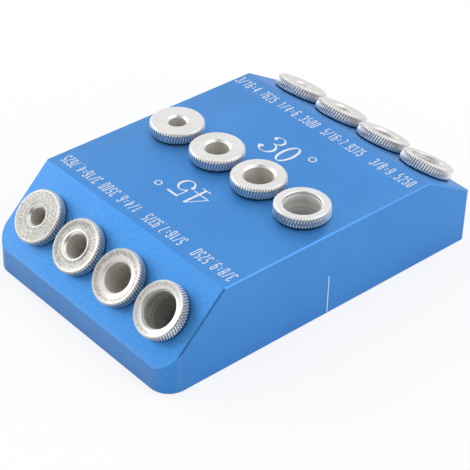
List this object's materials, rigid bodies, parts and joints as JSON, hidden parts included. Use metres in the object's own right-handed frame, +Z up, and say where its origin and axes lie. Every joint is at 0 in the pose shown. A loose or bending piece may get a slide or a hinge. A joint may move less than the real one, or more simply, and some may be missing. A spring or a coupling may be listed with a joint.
{
  "type": "pocket hole jig",
  "caption": "Aluminium drill guide block with knurled steel bushings square to its 45 degree, level and 30 degree faces, for guiding twist drills at set angles.",
  "frame": {"origin": "on the base, half way across the block, below the middle of the level face's row of bushings", "axes": "+X from the 45 degree end to the 30 degree end, +Y from the marked near side and largest bushings to the far side, +Z up out of the level face"},
  "size_m": [0.105, 0.071, 0.0282],
  "materials": {
    "block": "blue anodised, fine blasted grain",
    "bushing": "turned and plated steel with a knurled head",
    "marking": "white paint in the engraved numbers and lines"
  },
  "bodies": {
    "block": {"block": "block"},
    "bushing_45deg_3_16": {"bushing_45deg_3_16": "bushing"},
    "bushing_45deg_1_4": {"bushing_45deg_1_4": "bushing"},
    "bushing_45deg_5_16": {"bushing_45deg_5_16": "bushing"},
    "bushing_45deg_3_8": {"bushing_45deg_3_8": "bushing"},
    "bushing_90deg_3_16": {"bushing_90deg_3_16": "bushing"},
    "bushing_90deg_1_4": {"bushing_90deg_1_4": "bushing"},
    "bushing_90deg_5_16": {"bushing_90deg_5_16": "bushing"},
    "bushing_90deg_3_8": {"bushing_90deg_3_8": "bushing"},
    "bushing_30deg_3_16": {"bushing_30deg_3_16": "bushing"},
    "bushing_30deg_1_4": {"bushing_30deg_1_4": "bushing"},
    "bushing_30deg_5_16": {"bushing_30deg_5_16": "bushing"},
    "bushing_30deg_3_8": {"bushing_30deg_3_8": "bushing"}
  },
  "joints": [
    {"name": "bushing_45deg_3_16_lift", "type": "slide", "parent": "block", "child": "bushing_45deg_3_16", "axis": [-0.7071, 0, 0.7071], "range_m": [0, 0.02]},
    {"name": "bushing_45deg_1_4_lift", "type": "slide", "parent": "block", "child": "bushing_45deg_1_4", "axis": [-0.7071, 0, 0.7071], "range_m": [0, 0.02]},
    {"name": "bushing_45deg_5_16_lift", "type": "slide", "parent": "block", "child": "bushing_45deg_5_16", "axis": [-0.7071, 0, 0.7071], "range_m": [0, 0.02]},
    {"name": "bushing_45deg_3_8_lift", "type": "slide", "parent": "block", "child": "bushing_45deg_3_8", "axis": [-0.7071, 0, 0.7071], "range_m": [0, 0.02]},
    {"name": "bushing_90deg_3_16_lift", "type": "slide", "parent": "block", "child": "bushing_90deg_3_16", "axis": [0, 0, 1], "range_m": [0, 0.02]},
    {"name": "bushing_90deg_1_4_lift", "type": "slide", "parent": "block", "child": "bushing_90deg_1_4", "axis": [0, 0, 1], "range_m": [0, 0.02]},
    {"name": "bushing_90deg_5_16_lift", "type": "slide", "parent": "block", "child": "bushing_90deg_5_16", "axis": [0, 0, 1], "range_m": [0, 0.02]},
    {"name": "bushing_90deg_3_8_lift", "type": "slide", "parent": "block", "child": "bushing_90deg_3_8", "axis": [0, 0, 1], "range_m": [0, 0.02]},
    {"name": "bushing_30deg_3_16_lift", "type": "slide", "parent": "block", "child": "bushing_30deg_3_16", "axis": [0.5, 0, 0.866], "range_m": [0, 0.02]},
    {"name": "bushing_30deg_1_4_lift", "type": "slide", "parent": "block", "child": "bushing_30deg_1_4", "axis": [0.5, 0, 0.866], "range_m": [0, 0.02]},
    {"name": "bushing_30deg_5_16_lift", "type": "slide", "parent": "block", "child": "bushing_30deg_5_16", "axis": [0.5, 0, 0.866], "range_m": [0, 0.02]},
    {"name": "bushing_30deg_3_8_lift", "type": "slide", "parent": "block", "child": "bushing_30deg_3_8", "axis": [0.5, 0, 0.866], "range_m": [0, 0.02]}
  ]
}
